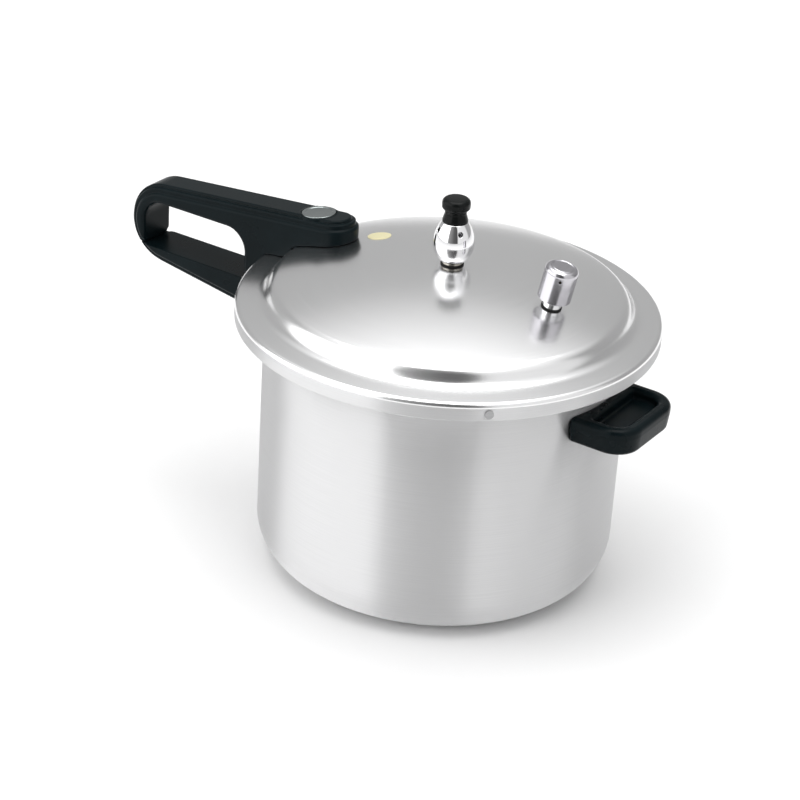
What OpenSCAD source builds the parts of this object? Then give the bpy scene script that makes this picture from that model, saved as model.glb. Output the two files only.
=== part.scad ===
// Stovetop pressure cooker with an outer bayonet lid.
// The origin is the centre of the base, +Z is up, the long handle points along -X
// and the helper grip along +X. All sizes are in millimetres.

/* [Pot] */
// Outside diameter of the pot wall
pot_od = 220; // [200:1:260]
// Height of the pot from its base to the top of its rim
pot_h = 164; // [130:1:240]
// Thickness of the pot wall
pot_wall = 2.2; // [1.6:0.1:3]
// Thickness of the pot floor
pot_floor = 3; // [2:0.1:5]
// Outside radius of the corner between floor and wall
pot_corner_r = 26.5; // [15:0.5:35]
// Radial thickness of the bead round the rim
rim_bead = 4.5; // [3:0.1:6]

/* [Bayonet] */
// Number of lugs on the pot, and on the lid
lug_count = 6; // [4:1:8]
// Angle that one lug spans
lug_angle = 26; // [18:1:27]
// Thickness of a pot lug
pot_lug_t = 3.5; // [2.5:0.1:5]
// Thickness of a lid lug
lid_lug_t = 2.7; // [2:0.1:4]
// Vertical play between a pot lug and the lid lug under it
lug_play = 1.1; // [0.5:0.1:2]
// Radial clearance between the lid lugs and the rim bead
lug_clear = 1; // [0.5:0.1:2]
// Radial clearance between the pot lugs and the lid skirt
skirt_clear = 4; // [2:0.1:6]

/* [Lid] */
// Thickness of the lid sheet
lid_wall = 2.2; // [1.6:0.1:3]
// How far the lid skirt stands out past the pot wall
lid_overhang = 17.7; // [15.5:0.1:22]
// Outside radius of the edge between skirt and flange
lid_edge_r = 3; // [2.6:0.1:5]
// Rise of the flange from its outer edge to the foot of the raised wall
flange_rise = 1.9; // [0.5:0.1:4]
// Height of the raised wall between flange and dome
shoulder_h = 8.9; // [5:0.1:14]
// Radius of the foot of the raised wall, over the pot's outside radius
foot_out = 0.9; // [0:0.1:2]
// How far the shoulder is in from the foot
shoulder_in = 4.6; // [3:0.1:7]
// Rise of the dome above the shoulder
dome_rise = 16; // [8:0.5:28]

/* [Gasket] */
// Thickness of the sealing ring
gasket_t = 1.8; // [1.4:0.1:3]
// Width of the sealing ring
gasket_w = 11.7; // [8:0.1:13]

/* [Long handle] */
// How far the outer end stands out from the pot wall
handle_out = 124; // [100:1:170]
// How far the inner tip lies in from the lid's shoulder
tip_in = 36.3; // [28:0.1:46]
// Width of the handle
handle_w = 28; // [22:1:32]
// Width of the raised strip along the top
strip_w = 19; // [14:0.5:20]
// Height of the handle's top above the dome's apex, at the tip
handle_lift = 7.25; // [3:0.05:12]
// Slope of the top, falling outwards
handle_slope = 5.4; // [2:0.1:9]
// Slope of the underside, rising outwards
under_slope = 8.6; // [4:0.1:14]
// Thickness of the top bar at its outer end
bar_t = 12; // [9:0.5:16]
// Radius of the upper quarter of the outer end
end_top_r = 26; // [20:0.5:32]
// Radius of the lower quarter of the outer end
end_low_r = 27.5; // [18:0.5:30]
// Thickness of the end column outside the finger hole
column_t = 12; // [9:0.5:18]
// Thickness of the web between lid skirt and finger hole
web_t = 15; // [10:0.5:20]
// Radius of the finger hole's inner top corner
hole_corner_r = 14; // [6:0.5:14]
// Radius of the finger hole's outer top corner
hole_r = 13; // [6:0.5:14]
// Depth of the parting plane below the pot rim
parting_drop = 16.9; // [12:0.1:26]
// Gap between the upper and lower handles
handle_gap = 0.6; // [0.4:0.1:1.5]
// How far the screw on the lid lies in from the lid's shoulder
lid_screw_in = 9.3; // [5:0.1:14]
// Diameter of the cover disc over that screw
cap_d = 21; // [16:0.5:24]

/* [Helper grip] */
// How far the outer face stands out from the pot wall
helper_out = 33.5; // [28:0.5:50]
// Width of the grip
helper_w = 64; // [54:1:72]
// Height of the grip
helper_h = 16.5; // [15:0.5:22]
// Depth of the grip's top below the pot rim
helper_drop = 22.7; // [16:0.1:60]
// Radius of the outer corners in plan
helper_corner_r = 17; // [8:0.5:24]
// Width of the rim round the hollow in the top
helper_rim = 8; // [5:0.5:12]
// Depth of the hollow in the top
helper_hollow = 6.5; // [3:0.5:8]

/* [Brackets] */
// Thickness of the steel pads on the pot wall
pad_t = 2; // [1.5:0.1:3]
// Radius of the rivet shanks
rivet_r = 2; // [1.5:0.1:2.5]
// Radius of the rivet heads
rivet_head_r = 3.3; // [2.8:0.1:3.6]
// Radius of the handle screws
screw_r = 2.5; // [2:0.1:3]

/* [Regulator] */
// Largest diameter of the weight
weight_d = 24.7; // [20:0.1:30]
// Height of the weight
weight_h = 24.4; // [20:0.1:30]
// Diameter of the weight's top, under the knob
weight_top_d = 15.3; // [12:0.1:18]
// Diameter of the weight's base
weight_base_d = 16; // [13:0.1:20]
// Height of the knob
knob_h = 14.6; // [10:0.1:20]
// Diameter of the knob's head
knob_d = 17; // [14:0.1:22]
// Diameter of the knob's neck
neck_d = 12.8; // [10:0.1:15]
// Outside diameter of the vent pipe
pipe_d = 7; // [6:0.1:7.6]
// Diameter of the vent pipe's bore
pipe_bore_d = 2.4; // [2:0.1:3]
// Diameter of the steam holes in the weight
steam_d = 3; // [2:0.1:3.4]

/* [Safety valve] */
// How far the valve's axis lies in from the lid's shoulder
safety_in = 37.3; // [26:0.1:50]
// Outside diameter of the cap
safety_d = 20; // [18:0.1:24]
// Height of the cap
safety_h = 21.3; // [20.8:0.1:30]
// Visible height of the stem under the cap
safety_stem_h = 6.2; // [4:0.1:10]
// Diameter of the stem under the cap
safety_stem_d = 11.3; // [10:0.1:13]

/* [Small parts] */
// Diameter of the round badge
badge_d = 14.5; // [8:0.5:20]
// Radius of the stop pin's head in the skirt
stop_head_r = 2.6; // [2.2:0.1:3]

/* [Hidden] */
// Smoothness of round parts
$fn = 96;
// Radial clearance of fits, screws and threads
fit = 0.05;
// Clearance between a moulded part and what it sits on
seat = 0.3;
// Gap left at a weld or between stacked washers
weld = 0.02;
// Overshoot of cutting tools
cut = 1;
// Depth that a straight edge ends inside the arc it runs into
run_in = 0.05;

pot_r = pot_od / 2;
skirt_r = pot_r + lid_overhang;
skirt_in_r = skirt_r - lid_wall;
bead_r = pot_r + rim_bead;
lid_lug_r = bead_r + lug_clear;
pot_lug_r = skirt_in_r - skirt_clear;
pot_lug_z = pot_h - pot_lug_t;
lid_lug_z = pot_lug_z - lug_play - lid_lug_t;

gasket_z = pot_h + seat;
flange_in_z = gasket_z + gasket_t + seat;
flange_z = flange_in_z + lid_wall;
foot_r = pot_r + foot_out;
foot_z = flange_z + flange_rise;
shoulder_r = foot_r - shoulder_in;
shoulder_z = foot_z + shoulder_h;
apex_z = shoulder_z + dome_rise;
dome_r = (shoulder_r * shoulder_r + dome_rise * dome_rise) / (2 * dome_rise);
// How far the raised wall's inner face is in from its outer one, and below it at the foot
shoulder_in_r = shoulder_r - lid_wall * 1.1;
foot_in_z = foot_z - lid_wall * 0.95;

// The stop pin meets one end of a pot lug when the lid is closed
stop_azimuth = -47;
stop_pin_r = 1.6;
stop_pin_in = 2.4;
stop_half_angle = asin(stop_pin_r / pot_lug_r);
lug_phase = stop_azimuth - stop_half_angle - 0.3 - lug_angle / 2;
stop_z = pot_lug_z + pot_lug_t / 2;

// Distances from the pot axis along the handle's side (handle, safety valve) of the lid
handle_reach = pot_r + handle_out;
handle_tip = shoulder_r - tip_in;
lid_screw_s = shoulder_r - lid_screw_in;
helper_reach = pot_r + helper_out;
safety_s = shoulder_r - safety_in;

parting_z = pot_h - parting_drop;
tip_top_z = apex_z + handle_lift;
end_top_s = handle_reach - end_top_r;
end_low_s = handle_reach - end_low_r;
end_z = top_z(end_top_s) - end_top_r / cos(handle_slope);
hole_top_z = top_z(end_top_s) - bar_t;
hole_out_s = handle_reach - column_t - hole_r;
hole_in_s = skirt_r + seat + web_t;
step_low = 5;
step_high = 2;
step_in = 2;
tip_depth = 6;
cap_ring = 1.2;

// The steel tongues that carry the lower handle and the helper grip
tongue_t = 3;
handle_tongue_z = parting_z - 11.5;
handle_tongue_w = 9;
handle_tongue_s = pot_r + 44;
handle_pad_h = 15;
handle_rivet_y = 8.4;
handle_screw_s = pot_r + 32;
helper_top_z = pot_h - helper_drop;
helper_z = helper_top_z - helper_h;
helper_tongue_z = helper_z + 4.6;
helper_tongue_w = 20;
helper_tongue_s = pot_r + 24;
helper_pad_h = 10;
helper_rivet_y = 15;
helper_screw_s = pot_r + 17;
rivet_head_t = 1.2;
pad_out_r = pot_r + fit + pad_t;
pocket_r = pad_out_r + rivet_head_t + seat;
rivet_gap = 0.1;
rivet_reach = 8;
tongue_root = 1;
helper_pad_half = helper_rivet_y + rivet_head_r + 0.7;
handle_pad_half = handle_rivet_y + rivet_head_r;
helper_edge = 3;
helper_edge_in = 2.4;
helper_back_t = 2.5;
screw_head_r = 4.5;
screw_head_h = 2;
screw_land = 2;
screw_slot_w = 1.2;
screw_slot_t = 1.1;

cap_t = 1.6;
cap_sink = 1.2;
clamp_t = 3.6;
lid_screw_head_h = 2.6;
stud_r = 5;
stud_h = 24;
tap_h = 4.6;
screw_grip = 4;
// Levels of the screw's head and the stud's top, from the handle's top over the screw
head_level = -cap_sink - lid_screw_head_h - 0.2;
stud_level = head_level - clamp_t;
cap_edge = 0.5;
cap_dish = 0.4;
cap_rim_w = 2.2;

weight_gap = 2.8;
weight_z = apex_z + weight_gap;
belly_h = 10;
pipe_top_z = weight_z + 14;
pipe_stem_r = 5;
washer_t = 0.8;
vent_nut_t = 4.5;
nut_af = 15;
strainer_r = 9;
strainer_h = 9;
needle_collar_t = 2;
needle_shank_r = 1.8;
weight_cavity_r = 4.2;
weight_cavity_h = weight_h - 2.6;
spigot_r = 3.6;
spigot_h = 8;
steam_azimuth = -37;
steam_z = weight_z + 19.8;

cap_wall = 1.6;
tail_r = 4.5;
safety_tail = 11;
seat_t = 8;
chamber_r = safety_d / 2 - cap_wall;
chamber_bore_r = chamber_r - 2;
chamber_top = 20;
plug_t = 2.5;
inlet_r = 1.8;
plunger_disc_t = 2;
plunger_stem_r = 2;
spring_wire_r = 0.6;
spring_r = 3.9;
spring_turns = 5;
spring_low = seat_t + plunger_disc_t + spring_wire_r + 0.1;
spring_high = chamber_top - plug_t - spring_wire_r - 0.1;
spring_sides = 8;
spring_steps = 100;
cap_top_t = 1.8;
cap_round_r = 2.8;
outlet_r = 0.9;
outlet_azimuth = -61;

badge_s = shoulder_r - 42.8;
badge_azimuth = 166.5;
badge_t = 0.4;

// Height of the long handle's top at distance s from the axis
function top_z(s) = tip_top_z - (s - handle_tip) * tan(handle_slope);
// Height of the lower handle's underside at distance s from the axis
function under_z(s) = end_z - end_low_r / cos(under_slope) - (end_low_s - s) * tan(under_slope);
// Height of the dome's outer surface at radius r
function dome_z(r) = apex_z - dome_r + sqrt(dome_r * dome_r - r * r);
// Tilt of the dome's surface at radius r
function dome_tilt(r) = asin(r / dome_r);

// ---------- Pot ----------

// Half section of a round vessel with a rounded floor corner
module vessel_section(r, z0, z1, corner) {
    translate([0, z0]) square([r - corner, corner]);
    translate([0, z0 + corner]) square([r, z1 - z0 - corner]);
    translate([r - corner, z0 + corner]) circle(r = corner);
}

// Ring of lugs spanning r0 to r1 and z0 upwards by t
module lugs(r0, r1, z0, t) {
    for (i = [0 : lug_count - 1])
        rotate([0, 0, lug_phase + i * 360 / lug_count - lug_angle / 2])
            rotate_extrude(angle = lug_angle)
                translate([r0, z0]) square([r1 - r0, t]);
}

module pot_body() {
    color([0.80, 0.80, 0.81])
    difference() {
        union() {
            rotate_extrude() {
                difference() {
                    vessel_section(pot_r, 0, pot_h, pot_corner_r);
                    vessel_section(pot_r - pot_wall, pot_floor, pot_h + cut, pot_corner_r - pot_wall);
                    translate([-pot_r, 0]) square([pot_r, pot_h]);
                }
                translate([pot_r - pot_wall / 2, pot_lug_z])
                    square([rim_bead + pot_wall / 2, pot_lug_t]);
            }
            lugs(bead_r - 1, pot_lug_r, pot_lug_z, pot_lug_t);
        }
        at_handle_rivets() rivet_hole();
        at_helper_rivets() rivet_hole();
    }
}

// ---------- Brackets on the pot wall ----------

// Places a child at radius 0, pointing along the local +X outwards, at side offset y of the wall
module at_wall(azimuth, y, z) {
    rotate([0, 0, azimuth + asin(y / pot_r)]) translate([0, 0, z]) children();
}

module at_handle_rivets() {
    for (y = [-handle_rivet_y, handle_rivet_y])
        at_wall(180, y, handle_tongue_z + tongue_t / 2) children();
}

module at_helper_rivets() {
    for (y = [-helper_rivet_y, helper_rivet_y])
        at_wall(0, y, helper_tongue_z + tongue_t / 2) children();
}

module rivet_hole() {
    translate([pot_r - rivet_reach, 0, 0])
        rotate([0, 90, 0]) cylinder(r = rivet_r + fit, h = 2 * rivet_reach);
}

// One rivet through wall and pad, its heads flat
module rivet() {
    in_x = pot_r - pot_wall - rivet_head_t - rivet_gap;
    rotate([0, 90, 0]) {
        translate([0, 0, in_x]) cylinder(r = rivet_head_r, h = rivet_head_t);
        translate([0, 0, in_x]) cylinder(r = rivet_r, h = pad_out_r + rivet_head_t - in_x);
        translate([0, 0, pad_out_r + weld]) cylinder(r = rivet_head_r, h = rivet_head_t - weld);
    }
}

// Curved pad on the wall with a flat tongue that runs outwards
module bracket(azimuth, half_w, pad_h, z, tongue_w, tongue_s, screw_s) {
    half_angle = asin(half_w / pot_r);
    difference() {
        rotate([0, 0, azimuth]) union() {
            rotate([0, 0, -half_angle])
                rotate_extrude(angle = 2 * half_angle)
                    translate([pot_r + fit, z + tongue_t / 2 - pad_h / 2]) square([pad_t, pad_h]);
            translate([pot_r + tongue_root, -tongue_w / 2, z])
                cube([tongue_s - pot_r - tongue_root, tongue_w, tongue_t]);
        }
        rotate([0, 0, azimuth]) translate([screw_s, 0, z - cut])
            cylinder(r = screw_r + fit, h = tongue_t + 2 * cut);
        if (azimuth == 180) at_handle_rivets() rivet_hole();
        else at_helper_rivets() rivet_hole();
    }
}

module handle_bracket() {
    color([0.62, 0.63, 0.65])
    bracket(180, handle_pad_half, handle_pad_h, handle_tongue_z,
            handle_tongue_w, handle_tongue_s, handle_screw_s);
}

module handle_bracket_rivets() {
    color([0.75, 0.75, 0.76]) at_handle_rivets() rivet();
}

module helper_bracket() {
    color([0.62, 0.63, 0.65])
    bracket(0, helper_pad_half, helper_pad_h, helper_tongue_z,
            helper_tongue_w, helper_tongue_s, helper_screw_s);
}

module helper_bracket_rivets() {
    color([0.75, 0.75, 0.76]) at_helper_rivets() rivet();
}

// ---------- Long handle ----------

// Side outline of the whole closed handle, drawn with x as the distance s and y as height;
// d insets the top and the outer end
module handle_outline(d = 0) {
    top_r = end_top_r - d;
    low_r = end_low_r - d;
    lift = d / cos(handle_slope);
    polygon([
        [handle_tip, dome_z(handle_tip) - tip_depth],
        [handle_tip, top_z(handle_tip) - lift],
        [end_top_s + (top_r - run_in) * sin(handle_slope), end_z + (top_r - run_in) * cos(handle_slope)],
        [end_top_s, end_z],
        [end_low_s, end_z],
        [end_low_s + (low_r - run_in) * sin(under_slope), end_z - (low_r - run_in) * cos(under_slope)],
        [pot_r, under_z(pot_r) + d / cos(under_slope)],
        [pot_r, pot_h]
    ]);
    intersection() {
        translate([end_top_s, end_z]) circle(r = top_r);
        translate([end_top_s, end_z]) square([top_r + cut, top_r + cut]);
    }
    intersection() {
        translate([end_low_s, end_z]) circle(r = low_r);
        translate([end_low_s, end_z - low_r - cut]) square([low_r + cut, low_r + cut]);
    }
}

// Side outline of the finger hole, its flat bottom on the parting plane
module finger_hole() {
    low_z = parting_z - handle_gap;
    corner_s = hole_in_s + hole_corner_r;
    corner_z = hole_top_z - hole_corner_r;
    hole_z = hole_top_z - hole_r;
    translate([hole_in_s, low_z]) square([hole_out_s + hole_r - hole_in_s, corner_z - low_z]);
    translate([corner_s, low_z]) square([hole_out_s - corner_s, hole_top_z - low_z]);
    translate([hole_out_s, low_z]) square([hole_r, hole_z - low_z]);
    translate([corner_s, corner_z]) circle(r = hole_corner_r);
    translate([hole_out_s, hole_z]) circle(r = hole_r);
}

// Stands a side outline up in the handle's plane with width w
module side(w) {
    translate([0, w / 2, 0]) rotate([90, 0, 0]) mirror([1, 0, 0]) linear_extrude(w) children();
}

// Plan outline of the handle, narrowed by d on each side and at the tip
module handle_plan(w, d) {
    r = w / 2;
    translate([-handle_tip - d - r, 0]) circle(r = r);
    translate([-handle_reach - cut, -r]) square([handle_reach + cut - handle_tip - d - r, w]);
}

// One layer of the handle: side outline inset by d, over a plan outline of width w
module handle_layer(d, w) {
    intersection() {
        side(w) handle_outline(d);
        linear_extrude(tip_top_z + cut) children();
    }
}

module handle_blank() {
    shelf_w = handle_w - 2 * step_in;
    strip_in = (handle_w - strip_w) / 2;
    handle_layer(step_low, handle_w) handle_plan(handle_w, 0);
    handle_layer(step_high, shelf_w) handle_plan(shelf_w, step_in);
    handle_layer(0, shelf_w) {
        handle_plan(strip_w, strip_in);
        intersection() {
            translate([-lid_screw_s, 0]) circle(r = cap_d / 2 + cap_ring);
            translate([-lid_screw_s - cap_d, -shelf_w / 2]) square([2 * cap_d, shelf_w]);
        }
    }
}

// Places a child on the handle's top over the lid screw, square to the top
module at_lid_screw() {
    translate([-lid_screw_s, 0, top_z(lid_screw_s)]) rotate([0, -handle_slope, 0]) children();
}

// Solid of the lid's outside, grown by c, down to z0
module lid_outside(c, z0) {
    rotate_extrude() {
        translate([0, z0]) square([skirt_r + c, flange_z - lid_edge_r - z0]);
        intersection() {
            translate([skirt_r - lid_edge_r, flange_z - lid_edge_r]) circle(r = lid_edge_r + c);
            translate([0, z0]) square([skirt_r + c, 2 * pot_h]);
        }
        polygon([
            [0, flange_z - lid_edge_r - cut], [skirt_r - lid_edge_r, flange_z - lid_edge_r - cut],
            [skirt_r - lid_edge_r, flange_z + c], [foot_r + c, foot_z + c],
            [shoulder_r + c, shoulder_z + c], [0, shoulder_z + c]
        ]);
        intersection() {
            translate([0, apex_z - dome_r]) circle(r = dome_r + c, $fn = 360);
            translate([0, shoulder_z - cut]) square([shoulder_r, dome_rise + 2 * cut]);
        }
    }
}

module upper_handle() {
    color([0.10, 0.13, 0.14])
    difference() {
        handle_blank();
        side(handle_w + 2 * cut) finger_hole();
        translate([-handle_reach - cut, -handle_w, 0])
            cube([handle_reach, 2 * handle_w, parting_z + handle_gap / 2]);
        lid_outside(seat, 0);
        at_lid_screw() {
            translate([0, 0, -cap_sink]) cylinder(d = cap_d + 4 * fit, h = cap_sink + cut);
            translate([0, 0, head_level]) cylinder(r = screw_head_r + seat, h = -head_level);
            translate([0, 0, -stud_h]) cylinder(r = screw_r + seat, h = stud_h);
            translate([0, 0, stud_level - stud_h]) cylinder(r = stud_r + seat, h = stud_h);
        }
    }
}

module lower_handle() {
    color([0.10, 0.13, 0.14])
    difference() {
        union() {
            side(handle_w) intersection() {
                handle_outline(step_high);
                square([handle_reach, parting_z - handle_gap / 2]);
            }
            side(handle_w - 4 * step_in) intersection() {
                handle_outline(0);
                square([handle_reach, parting_z - handle_gap / 2]);
            }
        }
        translate([0, 0, -cut]) cylinder(r = pot_r + seat, h = pot_h);
        wall_pocket(180, handle_pad_half + seat, handle_pad_h, handle_tongue_z);
        socket(180, handle_tongue_w, handle_tongue_s, handle_tongue_z);
        screw_bore(180, handle_screw_s, handle_tongue_z);
    }
}

// Room for the pad and the rivet heads at the wall end of a grip
module wall_pocket(azimuth, half_w, h, z) {
    rotate([0, 0, azimuth])
        intersection() {
            translate([0, -half_w, z + tongue_t / 2 - h / 2 - seat])
                cube([pot_r * 1.5, 2 * half_w, h + 2 * seat]);
            cylinder(r = pocket_r, h = pot_h);
        }
}

// Slot that the tongue slides into
module socket(azimuth, w, s, z) {
    rotate([0, 0, azimuth])
        translate([pot_r - cut, -w / 2 - seat, z - seat])
            cube([s - pot_r + cut + seat, w + 2 * seat, tongue_t + 2 * seat]);
}

// Hole for a fixing screw from below, with a counterbore for its head
module screw_bore(azimuth, s, z) {
    rotate([0, 0, azimuth]) translate([s, 0, 0]) {
        cylinder(r = screw_r + seat, h = z + tongue_t);
        cylinder(r = screw_head_r + seat, h = z - screw_land);
    }
}

// Fixing screw from below: its head under the land, its end flush with the tongue
module fixing_screw(azimuth, s, z) {
    rotate([0, 0, azimuth]) translate([s, 0, 0]) difference() {
        union() {
            translate([0, 0, z - screw_land - screw_head_h]) cylinder(r = screw_head_r, h = screw_head_h);
            translate([0, 0, z - screw_land - cut]) cylinder(r = screw_r, h = screw_land + tongue_t + cut);
        }
        translate([-screw_slot_w / 2, -screw_head_r, z - screw_land - screw_head_h - cut])
            cube([screw_slot_w, 2 * screw_head_r, cut + screw_slot_t]);
    }
}

module lower_handle_screw() {
    color([0.70, 0.70, 0.72]) fixing_screw(180, handle_screw_s, handle_tongue_z);
}

module helper_screw() {
    color([0.70, 0.70, 0.72]) fixing_screw(0, helper_screw_s, helper_tongue_z);
}

// ---------- Helper grip ----------

// Plan outline of the grip, inset by d
module helper_plan(d) {
    r = helper_corner_r - d;
    cy = helper_w / 2 - helper_corner_r;
    cx = helper_reach - helper_corner_r;
    for (y = [-cy, cy]) translate([cx, y]) circle(r = r);
    translate([cx - 1, -cy]) square([r + 1, 2 * cy]);
    translate([pot_r * 0.9, -helper_w / 2 + d]) square([cx - pot_r * 0.9, helper_w - 2 * d]);
}

module helper_handle() {
    color([0.10, 0.12, 0.14])
    difference() {
        union() {
            translate([0, 0, helper_z + helper_edge])
                linear_extrude(helper_h - 2 * helper_edge) helper_plan(0);
            translate([0, 0, helper_z]) linear_extrude(helper_h) helper_plan(helper_edge_in);
        }
        translate([0, 0, helper_z - cut]) cylinder(r = pot_r + seat, h = helper_h + 2 * cut);
        translate([0, 0, helper_top_z - helper_hollow]) linear_extrude(helper_hollow + cut)
            intersection() {
                helper_plan(helper_rim);
                translate([pocket_r + helper_back_t, -helper_w]) square([helper_w, 2 * helper_w]);
            }
        wall_pocket(0, helper_pad_half + seat, helper_pad_h, helper_tongue_z);
        socket(0, helper_tongue_w, helper_tongue_s, helper_tongue_z);
        screw_bore(0, helper_screw_s, helper_tongue_z);
    }
}

// ---------- Lid ----------

// Section of the lid sheet from skirt to dome
module lid_section() {
    translate([skirt_in_r, lid_lug_z]) square([lid_wall, flange_z - lid_edge_r - lid_lug_z]);
    translate([skirt_r - lid_edge_r, flange_z - lid_edge_r]) intersection() {
        difference() {
            circle(r = lid_edge_r);
            circle(r = lid_edge_r - lid_wall);
        }
        square(lid_edge_r + cut);
    }
    polygon([
        [skirt_r - lid_edge_r, flange_z], [foot_r, foot_z],
        [foot_r - lid_wall, foot_in_z], [skirt_r - lid_edge_r, flange_in_z]
    ]);
    polygon([
        [foot_r, foot_z], [shoulder_r, shoulder_z],
        [shoulder_in_r, dome_z(shoulder_in_r) - lid_wall],
        [foot_r - lid_wall, foot_in_z]
    ]);
    intersection() {
        translate([0, apex_z - dome_r]) difference() {
            circle(r = dome_r, $fn = 360);
            circle(r = dome_r - lid_wall, $fn = 360);
        }
        translate([0, shoulder_z - 2 * lid_wall]) square([shoulder_r, dome_rise + 3 * lid_wall]);
    }
}

// Places a child on the dome at radius s, square to the surface
module on_dome(s, azimuth = 0) {
    rotate([0, 0, azimuth]) translate([s, 0, dome_z(s)]) rotate([0, dome_tilt(s), 0]) children();
}

module at_stop() {
    rotate([0, 0, stop_azimuth]) translate([0, 0, stop_z]) rotate([0, 90, 0]) children();
}

module lid_shell() {
    color([0.82, 0.82, 0.83])
    difference() {
        union() {
            rotate_extrude() lid_section();
            lugs(lid_lug_r, skirt_in_r + lid_wall / 2, lid_lug_z, lid_lug_t);
        }
        translate([0, 0, apex_z - 10]) cylinder(r = pipe_stem_r + fit, h = 20);
        on_dome(safety_s) translate([0, 0, -10]) cylinder(r = tail_r + fit, h = 20);
        at_stop() translate([0, 0, skirt_in_r - 2]) cylinder(r = stop_pin_r + fit, h = lid_wall + 4);
    }
}

module lid_stop_pin() {
    color([0.70, 0.70, 0.71])
    at_stop() {
        translate([0, 0, pot_lug_r - stop_pin_in])
            cylinder(r = stop_pin_r, h = skirt_r + 0.5 - pot_lug_r + stop_pin_in);
        translate([0, 0, skirt_r + fit]) cylinder(r = stop_head_r, h = 0.8);
    }
}

module lid_gasket() {
    out_r = skirt_in_r - seat;
    lip = 1;
    color([0.88, 0.88, 0.86])
    rotate_extrude() difference() {
        translate([out_r - gasket_w, gasket_z]) square([gasket_w, gasket_t]);
        translate([out_r - gasket_w + 3, gasket_z + gasket_t - lip / 2]) square([2, lip]);
        translate([out_r - gasket_w + 7, gasket_z + gasket_t - lip / 2]) square([2, lip]);
    }
}

module badge() {
    color([0.80, 0.76, 0.58])
    intersection() {
        translate([0, 0, apex_z - dome_r]) difference() {
            sphere(r = dome_r + badge_t, $fn = 180);
            sphere(r = dome_r + weld, $fn = 180);
        }
        on_dome(badge_s, badge_azimuth) translate([0, 0, -5]) cylinder(d = badge_d, h = 10);
    }
}

module handle_stud() {
    color([0.66, 0.66, 0.68])
    difference() {
        at_lid_screw() translate([0, 0, -stud_h]) cylinder(r = stud_r, h = stud_h + stud_level);
        at_lid_screw() translate([0, 0, stud_level - tap_h]) cylinder(r = screw_r + fit, h = tap_h + cut);
        lid_outside(weld, 0);
    }
}

module handle_screw() {
    color([0.70, 0.70, 0.72])
    at_lid_screw() {
        translate([0, 0, head_level]) cylinder(r = screw_head_r, h = lid_screw_head_h);
        translate([0, 0, stud_level - screw_grip]) cylinder(r = screw_r, h = clamp_t + screw_grip + cut);
    }
}

// Cover disc with a shallow dished face inside its rim
module handle_cap() {
    color([0.78, 0.79, 0.80])
    at_lid_screw() translate([0, 0, -cap_sink + weld]) rotate_extrude() difference() {
        union() {
            square([cap_d / 2, cap_t - cap_edge]);
            square([cap_d / 2 - cap_edge, cap_t]);
        }
        translate([0, cap_t - cap_dish]) square([cap_d / 2 - cap_rim_w, cap_dish + cut]);
    }
}

// ---------- Vent pipe ----------

module vent_pipe() {
    flange_z0 = apex_z + weld + washer_t;
    flange_t = 1.4;
    bottom_z = apex_z - lid_wall - washer_t - vent_nut_t - 5;
    color([0.80, 0.78, 0.70])
    difference() {
        union() {
            translate([0, 0, flange_z0]) cylinder(r = 6.5, h = flange_t);
            translate([0, 0, flange_z0]) cylinder(d = pipe_d, h = pipe_top_z - flange_z0);
            translate([0, 0, bottom_z]) cylinder(r = pipe_stem_r, h = flange_z0 - bottom_z + 0.5);
        }
        translate([0, 0, bottom_z - cut]) cylinder(d = pipe_bore_d, h = pipe_top_z - bottom_z + 2 * cut);
    }
}

// Flat ring round a stem of radius r
module washer(r, out_r, z) {
    translate([0, 0, z]) difference() {
        cylinder(r = out_r, h = washer_t - weld);
        translate([0, 0, -cut]) cylinder(r = r + fit, h = washer_t + 2 * cut);
    }
}

// Hexagon nut round a stem of radius r, its top at z
module hex_nut(r, af, t, z) {
    translate([0, 0, z - t]) difference() {
        cylinder(d = af / cos(30), h = t, $fn = 6);
        translate([0, 0, -cut]) cylinder(r = r + fit, h = t + 2 * cut);
    }
}

// Depth below the dome's surface where a washer of radius r seats inside the lid
function under_lid(r) = lid_wall + r * r / (2 * dome_r) + weld;

module vent_washer_top() {
    color([0.16, 0.16, 0.16]) washer(pipe_stem_r, 7, apex_z + weld);
}

module vent_washer_bottom() {
    color([0.16, 0.16, 0.16]) washer(pipe_stem_r, 8, apex_z - under_lid(8) - washer_t);
}

module vent_nut() {
    color([0.80, 0.78, 0.70])
    hex_nut(pipe_stem_r, nut_af, vent_nut_t, apex_z - under_lid(8) - washer_t - weld);
}

// Perforated cap that keeps food out of the vent pipe
module vent_strainer() {
    wall = 1;
    top = apex_z - under_lid(8) - washer_t - vent_nut_t - 0.2;
    color([0.78, 0.78, 0.79])
    difference() {
        translate([0, 0, top - strainer_h]) cylinder(r = strainer_r, h = strainer_h);
        translate([0, 0, top - strainer_h + wall]) cylinder(r = strainer_r - wall, h = strainer_h - 2 * wall - 1);
        translate([0, 0, top - 4]) cylinder(r = pipe_stem_r + fit, h = 5);
        for (i = [0 : 7]) rotate([0, 0, i * 45]) {
            translate([0, 0, top - strainer_h / 2 - 0.5]) rotate([0, 90, 0]) cylinder(r = 1.2, h = 20, $fn = 24);
            translate([5, 0, top - strainer_h - cut]) cylinder(r = 1, h = 3, $fn = 24);
        }
    }
}

// ---------- Regulator ----------

// Radius of the arc that bulges from radius r1 out to r0 over height h
function arc_r(r0, r1, h) = ((r0 - r1) * (r0 - r1) + h * h) / (2 * (r0 - r1));
// Radius of the weight at height h above or below its belly, on an arc that ends at r1 after span
function bulge(r1, span, h) =
    weight_d / 2 - arc_r(weight_d / 2, r1, span)
    + sqrt(pow(arc_r(weight_d / 2, r1, span), 2) - h * h);

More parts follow.
